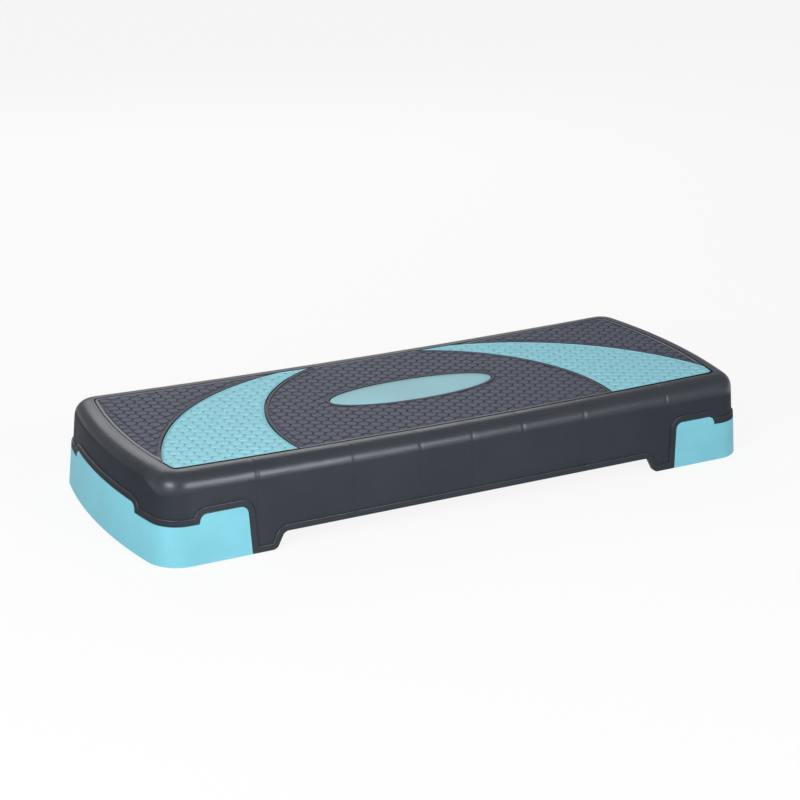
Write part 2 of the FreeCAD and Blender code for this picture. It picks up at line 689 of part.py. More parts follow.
os.makedirs("parts", exist_ok=True)
save("deck_shell", deck_shell())
save("centre_grip_mat", centre_grip_mat())
save("centre_badge", centre_badge())
riser = right_riser()
crescent = left_crescent_mat()
end_mat = left_end_grip_mat()
for name, side in SIDES:
    save(name + "_riser", on_side(riser, side))
    save(name + "_crescent_mat", on_side(crescent, -side))
    save(name + "_end_grip_mat", on_side(end_mat, -side))
    for other, face in FACES:
        corner = other + "_" + name
        save(corner + "_foot_pad", on_face(on_side(foot_pad_block(0), side), face))
        save(corner + "_riser_pad", on_face(on_side(riser_pad_block(0), side), face))
        save(corner + "_lock_bolt", on_face(on_side(lock_bolt(), side), face))
        save(corner + "_lock_keeper", on_face(on_side(lock_keeper(), side), face))
screws = [keeper_screw(x, y) for x, y in screw_places()]
save("keeper_screws", Part.makeCompound([copy for screw in screws for copy in four_times(screw)]))
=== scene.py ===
import math

import bmesh
import bpy
from mathutils import Matrix, Vector


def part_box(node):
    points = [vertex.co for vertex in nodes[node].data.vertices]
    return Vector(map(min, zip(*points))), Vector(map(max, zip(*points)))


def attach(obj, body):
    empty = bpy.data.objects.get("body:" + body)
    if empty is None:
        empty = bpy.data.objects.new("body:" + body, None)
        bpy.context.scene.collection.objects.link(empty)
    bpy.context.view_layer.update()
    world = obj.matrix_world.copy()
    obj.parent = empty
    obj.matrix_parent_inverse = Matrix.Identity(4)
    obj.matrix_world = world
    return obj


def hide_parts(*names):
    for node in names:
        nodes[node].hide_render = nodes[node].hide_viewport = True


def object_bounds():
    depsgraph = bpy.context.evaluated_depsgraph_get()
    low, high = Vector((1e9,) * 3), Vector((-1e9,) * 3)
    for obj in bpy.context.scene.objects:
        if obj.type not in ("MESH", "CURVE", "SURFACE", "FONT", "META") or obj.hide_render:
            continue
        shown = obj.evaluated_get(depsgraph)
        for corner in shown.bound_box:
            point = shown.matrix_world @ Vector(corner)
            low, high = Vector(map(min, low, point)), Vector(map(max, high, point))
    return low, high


# Looks of an aerobic step platform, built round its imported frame. Metres, X along its length, -Y its front.

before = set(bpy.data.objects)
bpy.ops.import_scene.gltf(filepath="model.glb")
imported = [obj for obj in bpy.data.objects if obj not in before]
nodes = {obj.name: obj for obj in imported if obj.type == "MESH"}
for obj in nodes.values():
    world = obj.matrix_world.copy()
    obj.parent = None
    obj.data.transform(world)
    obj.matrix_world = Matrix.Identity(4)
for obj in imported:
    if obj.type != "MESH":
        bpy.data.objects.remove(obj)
cad_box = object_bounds()

SIDES = ("left", "right")
FACES = ("front", "back")

# Top surface: a shallow dip along the length
TOP_MIDDLE = 0.095
TOP_DIP = 0.005
TOP_REACH = cad_box[1].x

# Plan of the mats: their shared outline, the two arcs on the left as x, y and radius, and the badge's oval
MAT_HALF_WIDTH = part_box("centre_grip_mat")[1].y
MAT_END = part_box("right_end_grip_mat")[1].x
END_BOW_RADIUS = 0.5975
MAT_CORNER_RADIUS = 0.0055
INNER_ARC = (0.0125, -0.082, 0.2165)
OUTER_ARC = (-0.058, -0.182, 0.305)
BADGE_HALF_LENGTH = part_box("centre_badge")[1].x
BADGE_HALF_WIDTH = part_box("centre_badge")[1].y
END_MAT_FROM_MIDDLE = MAT_HALF_WIDTH / 2
MAT_GAP = 0.0005
BADGE_GAP = 2 * MAT_GAP
MAT_THICKNESS = 0.0025

# How far the mats stop short of the rim along the front, and the crescents of the rim and of their arcs
FRONT_DRAWN_IN = 0.0018
CRESCENT_RIM_DRAWN_IN = 0.0012
CRESCENT_ARC_DRAWN_IN = 0.0006

# Honeycomb: columns of cells along X, with every other column shifted half a cell along Y
COLUMN_STEP = 0.01165
CELL_PITCH = 0.0132
CELL_REACH = 2 * COLUMN_STEP / 3
LATTICE_X = 0.00065
LATTICE_Y = -0.0058
LATTICE_SLACK = 0.01
SPARE_CELLS = 2

# Relief of the mats, by slot: flat band round them, grooves, pits where grooves meet, and crown of the pads
RELIEF = {
    "dark_mat_rubber": {
        "band": 0.0035, "groove": 0.0011, "width": 0.0019, "pit": 0.0004, "pit_cut": 0.02, "crown": 0.0001},
    "turquoise_mat_rubber": {
        "band": 0.0010, "groove": 0.0010, "width": 0.0019, "pit": 0.0009, "pit_cut": 0.16, "crown": 0.0001}}

# Pads of the honeycomb: their edge, the least of them and the round of their corners
PAD_EDGE = 0.0003
LEAST_PAD = 0.0003
CORNER_SHARE = 0.2
CORNER_CUT = 0.06
LONG_SIDE = 0.003
LEAST_TURN = 0.3

# Flank of a pad, as shares of the groove's half width and of the rise left there, and its crown midway in
PAD_FLANK = ((0.45, 1.0), (0.75, 0.5), (1.0, 0.12))
CROWN_MIDWAY = 0.25

# Flat band round each mat, which slopes down towards the deck's rim, with a faint painted shade beside the
# arcs
BAND_DROP = 0.00002
BAND_EDGE = 0.00015
RIM_TILT = math.radians(3)
ARC_BAND_PAINTED_SHADE = 0.0007
CORNER_REACH = 0.0002

# Finding the edges of the mats: distances that count as none, rounds of search, and points on a curved cut
WELD = 0.00001
PROBE = 0.00001
PUSHES = 3
EDGE_PUSHES = 12
HALVINGS = 24
CURVE_SHARES = (0.25, 0.5, 0.75)

# Badge: its middle, its edge, and its crown as shares of the half width and of the drop that is left there
OVAL_MIDDLE = 0.05
BADGE_CROWN = 0.0004
BADGE_EDGE = 0.0006
BADGE_EDGE_ROUND = 0.3
BADGE_CROWN_STEPS = ((0.3, 0.5), (0.7, 0.1))
BADGE_SIDES = 128

# Rubber foot pads
PAD_CORNER = 0.002
PAD_CORNER_STEPS = 5
TREAD_DEPTH = 0.001
TREAD_PITCH = 0.003
TREAD_ROUND = 0.00025
TREAD_ROUND_STEPS = 2
ROUND_PROFILE = 0.5

# Edges that turn by more than this stay sharp
SHARP_ANGLE = math.radians(50)

# Ribs under the deck that show as faint sink marks on its sides
SINK_PLACES = (0.0, 0.066, 0.148, 0.262)
SINK_HALF_WIDTH = 0.0035
SINK_BUMP = 0.0004

# The deck's top edge and the round of its lip are polished; its walls are duller, most so at the ends
POLISHED_GLOSS = 0.5
WALL_GLOSS = 0.22
RIGHT_WALL_GLOSS = 0.03
END_GLOSS = 0.005
POLISHED_ABOVE = (0.076, 0.085)
LIP_BELOW = (0.066, 0.070)
LIP_SLOPE = (0.2, 0.45)
ENDS_FROM = (0.335, 0.365)
FRONT_CORNERS = (-0.125, -0.095)
END_POLISH_LIFT = 0.011

# Moulded plastics, by slot: colour, roughness and gloss
PLASTICS = {
    "deck_plastic": ((0.0285, 0.0322, 0.0404), 0.34, POLISHED_GLOSS),
    "riser_plastic": ((0.160, 0.472, 0.565), 0.55, 0.6),
    "bolt_plastic": ((0.175, 0.49, 0.59), 0.38, 0.3),
    "keeper_plastic": ((0.034, 0.037, 0.044), 0.45, 0.35),
    "badge_plastic": ((0.26, 0.53, 0.60), 0.45, 0.35)}

# Flow marks and grain of the plastics, and the cool tint of their sheen
FLOW_SCALE = 14
FLOW_TONE = 0.06
FLOW_ROUGHNESS = 0.03
PLASTIC_GRAIN = 1600
PLASTIC_SPECKLE = 0.94
SPECKLE_RANGE = (0.35, 0.65)
PLASTIC_BUMP = 0.00002
SHEEN_TINT = (0.86, 0.89, 1.0)

# Grip rubbers, by slot: colours of the pads and of the grooves, the grooves' colour a painted shade of the
# pads'
RUBBERS = {
    "dark_mat_rubber": ((0.058, 0.066, 0.101), (0.031, 0.035, 0.053)),
    "turquoise_mat_rubber": ((0.28, 0.63, 0.73), (0.26, 0.61, 0.71))}

# Their grain, their painted shade from groove to pit to the painted shadow of the gap, and their roughness
# and gloss on the pads and on the band
RUBBER_GRAIN = 900
RUBBER_SPECKLE = 0.86
RUBBER_BUMP = 0.00005
GROOVE_SHADE_FROM = 0.3
PIT_SHADE_TONE = 0.3
GAP_SHADOW_DEPTH = 0.95
GAP_SHADOW_COLOUR = (0.004, 0.005, 0.006)
RUBBER_ROUGHNESS = (0.55, 0.32)
RUBBER_GLOSS = (0.35, 0.5)

# Black rubber of the foot pads, from the low to the high of its grain
PAD_GRAIN = 1200
PAD_COLOURS = ((0.012, 0.012, 0.013), (0.024, 0.024, 0.026))
PAD_ROUGHNESS = (0.65, 0.8)
PAD_BUMP = 0.00006

# Steel of the screws, from the low to the high of its turning marks
STEEL_MARKS = 2500
STEEL_COLOURS = ((0.48, 0.49, 0.51), (0.6, 0.61, 0.62))
STEEL_ROUGHNESS = (0.25, 0.4)
STEEL_BUMP = 0.00002

# Noise: the part of its range that shows, and its octaves
NOISE_RANGE = (0.3, 0.7)
FLOW_DETAIL = 2
GRAIN_DETAIL = 3
PAD_DETAIL = 4

# Shader sockets that have no name of their own: the two colours of a mix and its result
MIX_COLOURS = (6, 7)
MIX_RESULT = 2

# Plain white, and where a new stop of a ramp stands before it is set
WHITE = (1, 1, 1)
RAMP_MIDDLE = 0.5

# Camera of the photograph
LENS = 89.12
SENSOR = 36.0
CAMERA_PLACE = (-1.06199, -1.88851, 0.87406)
CAMERA_AZIMUTH = math.radians(-28.99)
CAMERA_ELEVATION = math.radians(20.12)
CAMERA_ROLL = math.radians(1.01)
CAMERA_FAR = 50

# Studio
FLOOR_SIZE = 60
FLOOR_GLOW = 0.88
FLOOR_ALBEDO = 0.8
FLOOR_ROUGHNESS = 0.9
WORLD_LEVEL = 0.36

# Soft lights: place, target, size, power in watts and spread in degrees
LIGHTS = {
    "key": ((-1.67, -1.05, 0.91), (-0.2, -0.1, 0.05), (0.8, 0.8), 29, 180),
    "fill": ((0.54, -1.97, 0.75), (-0.1, -0.1, 0.05), (0.7, 1.0), 4.2, 70),
    "strip": ((0.375, 1.9, 1.25), (0, 0, 0.08), (2.05, 0.6), 13.5, 180)}


def top_height(x):
    return TOP_MIDDLE + TOP_DIP * (x / TOP_REACH) ** 2


def disc(x, y, radius):
    """How deep a point lies inside a disc."""
    return lambda p: radius - math.hypot(p.x - x, p.y - y)


def left_inner_disc(growth):
    x, y, radius = INNER_ARC
    return disc(x, y, radius + growth)


def left_outer_disc(growth):
    x, y, radius = OUTER_ARC
    return disc(x, y, radius + growth)


def left_of(distance):
    """How far a point lies to the left of a line that far left of the middle."""
    return lambda p: -p.x - distance


def beyond(depth):
    """The outside of a shape, from the depth inside it."""
    return lambda p: -depth(p)


def drawn_in(depth, distance):
    """The same shape, drawn in all round."""
    return lambda p: depth(p) - distance


def mirrored(depth):
    """The same shape on the other side of the middle."""
    return lambda p: depth(Vector((-p.x, p.y)))


def mat_area(p):
    """How deep a point lies inside the whole area of mats, with its round corners."""
    side = min(MAT_HALF_WIDTH - p.y, MAT_HALF_WIDTH - FRONT_DRAWN_IN + p.y)
    end = END_BOW_RADIUS - math.hypot(abs(p.x) + END_BOW_RADIUS - MAT_END, p.y)
    radius = MAT_CORNER_RADIUS
    if side < radius and end < radius:
        return radius - math.hypot(radius - side, radius - end)
    return min(side, end)


def badge_oval(growth):
    """How deep a point lies inside the badge's oval, near its edge."""
    half_length = BADGE_HALF_LENGTH + growth
    half_width = BADGE_HALF_WIDTH + growth

    def depth(p):
        share = math.hypot(p.x / half_length, p.y / half_width)
        if share < OVAL_MIDDLE:
            return half_width
        slope = math.hypot(p.x / half_length ** 2, p.y / half_width ** 2) / share
        return (1 - share) / slope
    return depth


def inward(depth, p):
    """The direction in which a depth grows fastest."""
    across = depth(p + Vector((PROBE, 0))) - depth(p - Vector((PROBE, 0)))
    along = depth(p + Vector((0, PROBE))) - depth(p - Vector((0, PROBE)))
    return Vector((across, along)).normalized()


def pushed_to(depth, least, p):
    """The nearest point that lies exactly that deep."""
    for turn in range(PUSHES):
        p = p + inward(depth, p) * (least - depth(p))
    return p


def crossing(depth, least, inside, outside):
    """Where the line from a point inside to one outside reaches that depth."""
    low, high = 0.0, 1.0
    for turn in range(HALVINGS):
        middle = (low + high) / 2
        if depth(inside.lerp(outside, middle)) >= least:
            low = middle
        else:
            high = middle
    return inside.lerp(outside, (low + high) / 2)


def clipped(polygon, depth, least):
    """The part of a convex polygon that lies at least that deep, cut along the limit's own curve."""
    kept = []
    for i, here in enumerate(polygon):
        after = polygon[(i + 1) % len(polygon)]
        here_in = depth(here) >= least
        after_in = depth(after) >= least
        if here_in:
            kept.append(here)
        if here_in != after_in:
            inside, outside = (here, after) if here_in else (after, here)
            kept.append(crossing(depth, least, inside, outside))
        if here_in and not after_in:
            leaving = len(kept) - 1
    if len(kept) < 3 or all(depth(p) >= least for p in polygon):
        return kept
    start = kept[leaving]
    end = kept[(leaving + 1) % len(kept)]
    curve = [pushed_to(depth, least, start.lerp(end, share)) for share in CURVE_SHARES]
    return kept[:leaving + 1] + curve + kept[leaving + 1:]


def cell_outline(column, row):
    """The six corners of a cell, from its right-hand one."""
    x = LATTICE_X + column * COLUMN_STEP
    y = LATTICE_Y + (row + column % 2 / 2) * CELL_PITCH
    reach, half = CELL_REACH, CELL_PITCH / 2
    corners = [
        (reach, 0), (reach / 2, half), (-reach / 2, half),
        (-reach, 0), (-reach / 2, -half), (reach / 2, -half)]
    return [Vector((x + across, y + along)) for across, along in corners]


def has_pit(p):
    """Whether a point is the right-hand corner of a cell."""
    column = (p.x - LATTICE_X - CELL_REACH) / COLUMN_STEP
    row = (p.y - LATTICE_Y) / CELL_PITCH - round(column) % 2 / 2
    return abs(column - round(column)) < LATTICE_SLACK and abs(row - round(row)) < LATTICE_SLACK


def finer(polygon):
    """A polygon with two more points on each long side, near its ends."""
    points = []
    for i, here in enumerate(polygon):
        after = polygon[(i + 1) % len(polygon)]
        points.append(here)
        if (after - here).length > LONG_SIDE:
            points.append(here.lerp(after, CORNER_SHARE))
            points.append(here.lerp(after, 1 - CORNER_SHARE))
    return points


def corner_cuts(points, pit_cut):
    """How far each point of a pad is drawn in to round the pad's corners."""
    cuts = []
    for i, here in enumerate(points):
        behind = (here - points[i - 1]).normalized()
        ahead = (points[(i + 1) % len(points)] - here).normalized()
        turning = abs(behind.cross(ahead)) > LEAST_TURN
        cuts.append(CORNER_CUT + pit_cut * has_pit(here) if turning else 0)
    return cuts


def centre_of(polygon):
    return sum(polygon, Vector((0, 0))) / len(polygon)


def inner_radius(polygon, centre):
    """Distance from the centre to the nearest side."""
    found = []
    for i, here in enumerate(polygon):
        side = polygon[(i + 1) % len(polygon)] - here
        if side.length > WELD:
            found.append(abs(side.cross(centre - here)) / side.length)
    return min(found, default=0)


def at_height(bm, p, lift, painted_shade=None, smoothness=0):
    """A new vertex on the top surface, lifted.

    It keeps its painted shade, which is its depth unless given, and its smoothness for the materials.
    """
    vert = bm.verts.new((p.x, p.y, top_height(p.x) + lift))
    # Painted shade: the deeper a vertex lies, the darker the grip rubber paints it
    vert[bm.verts.layers.float["painted_shade"]] = -lift if painted_shade is None else painted_shade
    vert[bm.verts.layers.float["smoothness"]] = smoothness
    return vert


def add_layers(bm):
    """Room in a mesh for the painted shade and smoothness of its vertices."""
    for layer in ("painted_shade", "smoothness"):
        bm.verts.layers.float.new(layer)


def bridge(bm, ring, other):
    """Faces between two rings of as many vertices."""
    for i in range(len(ring)):
        j = (i + 1) % len(ring)
        bm.faces.new((ring[i], ring[j], other[j], other[i]))


def add_cell(bm, polygon, relief):
    """A cell of the honeycomb: its share of the groove's floor and the crowned pad that stands on it."""
    centre = centre_of(polygon)
    radius = inner_radius(polygon, centre)
    points = finer(polygon)
    cuts = corner_cuts(points, relief["pit_cut"])
    groove, crown = relief["groove"], relief["crown"]
    ring = [at_height(bm, p, -groove - relief["pit"] * has_pit(p)) for p in points]
    half = relief["width"] / 2
    if radius < half + PAD_EDGE + LEAST_PAD:
        bm.faces.new(ring)
        return
    rise = groove - crown
    steps = [(half * across, -crown - rise * below) for across, below in PAD_FLANK]
    steps += [(half + PAD_EDGE, -crown), ((radius + half) / 2, -crown * CROWN_MIDWAY)]
    for inset, lift in steps:
        share = 1 - inset / radius
        after = [at_height(bm, centre.lerp(p, share * (1 - cut)), lift) for p, cut in zip(points, cuts)]
        bridge(bm, ring, after)
        ring = after
    peak = at_height(bm, centre, 0)
    for i in range(len(ring)):
        bm.faces.new((ring[i], ring[(i + 1) % len(ring)], peak))


def outer_point(p, limits, band):
    """The point on a mat's own edge that belongs to a point on the inner side of its band."""
    near = [depth for depth in limits if abs(depth(p) - band) < CORNER_REACH]
    edge = p.copy()
    for turn in range(EDGE_PUSHES):
        for depth in near:
            edge = edge - inward(depth, edge) * depth(edge)
    return edge


def add_band(bm, limits, band):
    """The flat band from the honeycomb out to a mat's edge, and the edge down to the mat's seat.

    The first limit is the one along the deck's rim. The edges of the seat are returned.
    """
    edges = [edge for edge in bm.edges if len(edge.link_faces) == 1]
    ends = {vert for edge in edges for vert in edge.verts}
    inner = {vert: Vector(vert.co.xy) for vert in ends}
    outer = {vert: outer_point(inner[vert], limits, band) for vert in ends}
    along_rim = limits[0]
    by_rim = {vert: along_rim(inner[vert]) < band + CORNER_REACH for vert in ends}
    slope = band * math.tan(RIM_TILT)
    edge_share = BAND_EDGE / band
    steps = [
        (edge_share / 2, -BAND_DROP - BAND_EDGE / 2, False),
        (edge_share, -BAND_DROP, False),
        (1 / 2, -BAND_DROP, False),
        (1 - edge_share, -BAND_DROP, False),
        (1 - edge_share / 3, -BAND_DROP - BAND_EDGE / 3, False),
        (1, -BAND_DROP - BAND_EDGE, True),
        (1, -MAT_THICKNESS, True)]
    ring = {vert: vert for vert in ends}
    for share, lift, is_wall in steps:
        after = {}
        for vert in ends:
            place = inner[vert].lerp(outer[vert], share)
            lowered = max(lift - share * slope * by_rim[vert], -MAT_THICKNESS)
            # Painted shadow: the mat's edge wall counts as fully deep, so it is painted near black like a
            # shaded gap; the band beside the arcs gets a faint painted shade
            painted_shade = MAT_THICKNESS if is_wall else ARC_BAND_PAINTED_SHADE * (not by_rim[vert])
            after[vert] = at_height(bm, place, lowered, painted_shade, by_rim[vert] and not is_wall)
        for edge in edges:
            start, end = edge.verts
            bm.faces.new((ring[start], ring[end], after[end], after[start]))
        ring = after
    return [bm.edges.get((ring[edge.verts[0]], ring[edge.verts[1]])) for edge in edges]


def cell_range(low, high, step):
    """Numbers of the columns or rows of cells that reach from low to high, with some to spare."""
    return range(math.floor(low / step) - SPARE_CELLS, math.ceil(high / step) + SPARE_CELLS + 1)


def honeycomb_mat(name, limits, relief):
    """A grip mat in place of its CAD solid: a honeycomb of round-edged pads inside a flat band."""
    low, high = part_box(name)
    bm = bmesh.new()
    add_layers(bm)
    for column in cell_range(low.x, high.x, COLUMN_STEP):
        for row in cell_range(low.y, high.y, CELL_PITCH):
            polygon = cell_outline(column, row)
            for depth in limits:
                if len(polygon) > 2:
                    polygon = clipped(polygon, depth, relief["band"])
            if len(polygon) > 2:
                add_cell(bm, polygon, relief)
    bmesh.ops.remove_doubles(bm, verts=bm.verts, dist=WELD)
    seat = add_band(bm, limits, relief["band"])
    bmesh.ops.triangle_fill(bm, use_beauty=True, edges=seat)
    return piece_from(bm, name + "_honeycomb", name, "deck")


def piece_from(bm, piece_name, node, body):
    """A finished mesh as a piece that rides on a body and stands for a CAD node."""
    bmesh.ops.recalc_face_normals(bm, faces=bm.faces)
    mesh = bpy.data.meshes.new(piece_name)
    bm.to_mesh(mesh)
    bm.free()
    mesh.shade_smooth()
    mesh.set_sharp_from_angle(angle=SHARP_ANGLE)
    piece = bpy.data.objects.new(piece_name, mesh)
    bpy.context.scene.collection.objects.link(piece)
    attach(piece, body)
    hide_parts(node)
    return piece


def badge():
    """The bare oval badge, with a round edge and a slightly crowned face."""
    bm = bmesh.new()
    add_layers(bm)
    edge_round = BADGE_EDGE * BADGE_EDGE_ROUND
    steps = [
        (0, -MAT_THICKNESS),
        (0, -BADGE_CROWN - BADGE_EDGE),
        (edge_round, -BADGE_CROWN - edge_round),
        (BADGE_EDGE, -BADGE_CROWN)]
    steps += [(BADGE_HALF_WIDTH * across, -BADGE_CROWN * below) for across, below in BADGE_CROWN_STEPS]
    turns = [2 * math.pi * i / BADGE_SIDES for i in range(BADGE_SIDES)]
    ring = None
    for inset, lift in steps:
        half_length = BADGE_HALF_LENGTH - inset
        half_width = BADGE_HALF_WIDTH - inset
        points = [Vector((half_length * math.cos(turn), half_width * math.sin(turn))) for turn in turns]
        after = [at_height(bm, p, lift) for p in points]
        if ring is None:
            bm.faces.new(after)
        else:
            bridge(bm, ring, after)
        ring = after
    bm.faces.new(ring)
    return piece_from(bm, "centre_badge_oval", "centre_badge", "deck")


def rounded_rectangle(low, high):
    """Points round a rectangle with round corners."""
    points = []
    for quarter, (x, y) in enumerate(((high.x, high.y), (low.x, high.y), (low.x, low.y), (high.x, low.y))):
        across = x - math.copysign(PAD_CORNER, x - (low.x + high.x) / 2)
        along = y - math.copysign(PAD_CORNER, y - (low.y + high.y) / 2)
        for step in range(PAD_CORNER_STEPS + 1):
            turn = math.pi / 2 * (quarter + step / PAD_CORNER_STEPS)
            points.append((across + PAD_CORNER * math.cos(turn), along + PAD_CORNER * math.sin(turn)))
    return points


def extruded(bm, faces, rise, **settings):
    """Faces drawn out straight up by a rise, or down by a negative one."""
    drawn = bmesh.ops.extrude_face_region(bm, geom=faces, **settings)["geom"]
    moved = [item for item in drawn if isinstance(item, bmesh.types.BMVert)]
    bmesh.ops.translate(bm, verts=moved, vec=(0, 0, rise))


def rubber_pad(node, body):
    """A rubber foot pad with ribs across its tread and round edges."""
    low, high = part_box(node)
    bm = bmesh.new()
    bm.faces.new([bm.verts.new((x, y, low.z + TREAD_DEPTH)) for x, y in rounded_rectangle(low, high)])
    count = 2 * round((high.y - low.y) / TREAD_PITCH / 2) + 1
    pitch = (high.y - low.y) / count
    for i in range(1, count):
        geometry = bm.verts[:] + bm.edges[:] + bm.faces[:]
        place = (0, low.y + i * pitch, 0)
        bmesh.ops.bisect_plane(bm, geom=geometry, plane_co=place, plane_no=(0, 1, 0), dist=WELD)
    strips = sorted(bm.faces, key=lambda face: face.calc_center_median().y)
    ribs = strips[::2]
    extruded(bm, strips, high.z - low.z - TREAD_DEPTH, use_keep_orig=True)
    for rib in ribs:
        extruded(bm, [rib], -TREAD_DEPTH)
    bmesh.ops.recalc_face_normals(bm, faces=bm.faces)
    lowest = [edge for edge in bm.edges if all(vert.co.z < low.z + WELD for vert in edge.verts)]
    bmesh.ops.bevel(
        bm, geom=lowest, affect="EDGES",
        offset=TREAD_ROUND, segments=TREAD_ROUND_STEPS, profile=ROUND_PROFILE)
    return piece_from(bm, node + "_tread", node, body)


def new_material(name):
    made = bpy.data.materials.new(name)
    made.use_nodes = True
    return made, made.node_tree, made.node_tree.nodes["Principled BSDF"]


def shader_node(tree, kind, **settings):
    made = tree.nodes.new("ShaderNode" + kind)
    for setting, value in settings.items():
        setattr(made, setting, value)
    return made


def noise(tree, scale, detail):
    """Noise fixed to the object, of about one cell per 1 / scale metres."""
    place = shader_node(tree, "TexCoord")
    made = shader_node(tree, "TexNoise")
    made.inputs["Scale"].default_value = scale
    made.inputs["Detail"].default_value = detail
    tree.links.new(place.outputs["Object"], made.inputs["Vector"])
    return made.outputs["Fac"]


def ranged(tree, value, from_low, from_high, to_low, to_high):
    """A value moved from one range to another."""
    made = shader_node(tree, "MapRange")
    limits = {"From Min": from_low, "From Max": from_high, "To Min": to_low, "To Max": to_high}
    for limit, number in limits.items():
        made.inputs[limit].default_value = number
    tree.links.new(value, made.inputs["Value"])
    return made.outputs["Result"]


def ramp(tree, value, stops):
    """Colours along a value, from stops of (place, colour)."""
    made = shader_node(tree, "ValToRGB")
    made.color_ramp.interpolation = "EASE"
    elements = made.color_ramp.elements
    while len(elements) < len(stops):
        elements.new(RAMP_MIDDLE)
    for element, (place, colour) in zip(elements, stops):
        element.position = place
        element.color = (*colour, 1)
    tree.links.new(value, made.inputs["Fac"])
    return made.outputs["Color"]


def times(colour, share):
    return tuple(channel * share for channel in colour)


def tinted(tree, colour, other):
    """Two colours multiplied."""
    made = shader_node(tree, "Mix", data_type="RGBA", blend_type="MULTIPLY")
    made.inputs["Factor"].default_value = 1
    for socket, source in zip(MIX_COLOURS, (colour, other)):
        tree.links.new(source, made.inputs[socket])
    return made.outputs[MIX_RESULT]


def speckled(tree, colour, grain, span, darkest):
    """A colour darkened in the lows of a grain."""
    speckle = ramp(tree, grain, list(zip(span, (times(WHITE, darkest), WHITE))))
    return tinted(tree, colour, speckle)


def add_bump(tree, shader, height, distance):
    """A bump on top of those that the shader already has."""
    made = shader_node(tree, "Bump")
    made.inputs["Distance"].default_value = distance
    tree.links.new(height, made.inputs["Height"])
    normal = shader.inputs["Normal"]
    if normal.links:
        tree.links.new(normal.links[0].from_socket, made.inputs["Normal"])
    tree.links.new(made.outputs["Normal"], normal)


def calculated(tree, operation, *values):
    """The result of an operation on one or two values."""
    made = shader_node(tree, "Math", operation=operation)
    for value, socket in zip(values, made.inputs):
        tree.links.new(value, socket)
    return made.outputs["Value"]


def along(tree, axis):
    """A coordinate of the object."""
    place = shader_node(tree, "TexCoord")
    split = shader_node(tree, "SeparateXYZ")
    tree.links.new(place.outputs["Object"], split.inputs["Vector"])
    return split.outputs[axis]


def upward(tree):
    """How far a surface faces up."""
    split = shader_node(tree, "SeparateXYZ")
    tree.links.new(shader_node(tree, "NewGeometry").outputs["Normal"], split.inputs["Vector"])
    return split.outputs["Z"]


def attribute(tree, name):
    """A value kept by the vertices of a mesh."""
    return shader_node(tree, "Attribute", attribute_name=name).outputs["Fac"]


def moulded_plastic(name):
    """Moulded plastic: faint flow marks in its colour and roughness, and a fine eroded grain."""
    colour, roughness, gloss = PLASTICS[name]
    made, tree, shader = new_material(name)
    flow = noise(tree, FLOW_SCALE, FLOW_DETAIL)
    grain = noise(tree, PLASTIC_GRAIN, GRAIN_DETAIL)
    tones = (times(colour, 1 - FLOW_TONE), times(colour, 1 + FLOW_TONE))
    cloudy = ramp(tree, flow, list(zip(NOISE_RANGE, tones)))
    mottled = speckled(tree, cloudy, grain, SPECKLE_RANGE, PLASTIC_SPECKLE)
    tree.links.new(mottled, shader.inputs["Base Color"])
    uneven = ranged(tree, flow, *NOISE_RANGE, roughness - FLOW_ROUGHNESS, roughness + FLOW_ROUGHNESS)
    tree.links.new(uneven, shader.inputs["Roughness"])
    shader.inputs["Specular IOR Level"].default_value = gloss
    shader.inputs["Specular Tint"].default_value = (*SHEEN_TINT, 1)
    add_bump(tree, shader, grain, PLASTIC_BUMP)
    return made, tree, shader


def sink_marks(tree, from_middle):
    """A height that dips over the ribs."""
    share = ranged(tree, from_middle, 0, TOP_REACH, 0, 1)
    stops = []
    for sink in SINK_PLACES:
        for offset, level in ((-SINK_HALF_WIDTH, 1), (0, 0), (SINK_HALF_WIDTH, 1)):
            if sink + offset >= 0:
                stops.append(((sink + offset) / TOP_REACH, times(WHITE, level)))
    return ramp(tree, share, stops)


def deck_gloss(tree, from_middle):
    """Gloss over the deck: polished at the top edge and on the lip, duller on the walls and at the ends."""
    near_end = ranged(tree, from_middle, *ENDS_FROM, 0, END_POLISH_LIFT)
    lift = calculated(tree, "MULTIPLY", near_end, ranged(tree, along(tree, "Y"), *FRONT_CORNERS, 0, 1))
    height = calculated(tree, "SUBTRACT", along(tree, "Z"), lift)
    by_height = ranged(tree, height, *POLISHED_ABOVE, END_GLOSS, POLISHED_GLOSS)
    on_wall = ranged(tree, along(tree, "X"), -TOP_REACH, TOP_REACH, WALL_GLOSS, RIGHT_WALL_GLOSS)
    short_of_end = ranged(tree, from_middle, *ENDS_FROM, 1, END_GLOSS / WALL_GLOSS)
    by_length = calculated(tree, "MULTIPLY", on_wall, short_of_end)
    facing_up = ranged(tree, upward(tree), *LIP_SLOPE, 0, POLISHED_GLOSS)
    by_lip = calculated(tree, "MULTIPLY", facing_up, ranged(tree, along(tree, "Z"), *LIP_BELOW, 1, 0))
    return calculated(tree, "MAXIMUM", calculated(tree, "MAXIMUM", by_height, by_length), by_lip)


def deck_plastic():
    """Dark grey plastic with sink marks over the ribs, duller on its walls."""
    made, tree, shader = moulded_plastic("deck_plastic")
    from_middle = calculated(tree, "ABSOLUTE", along(tree, "X"))
    tree.links.new(deck_gloss(tree, from_middle), shader.inputs["Specular IOR Level"])
    add_bump(tree, shader, sink_marks(tree, from_middle), SINK_BUMP)
    return made


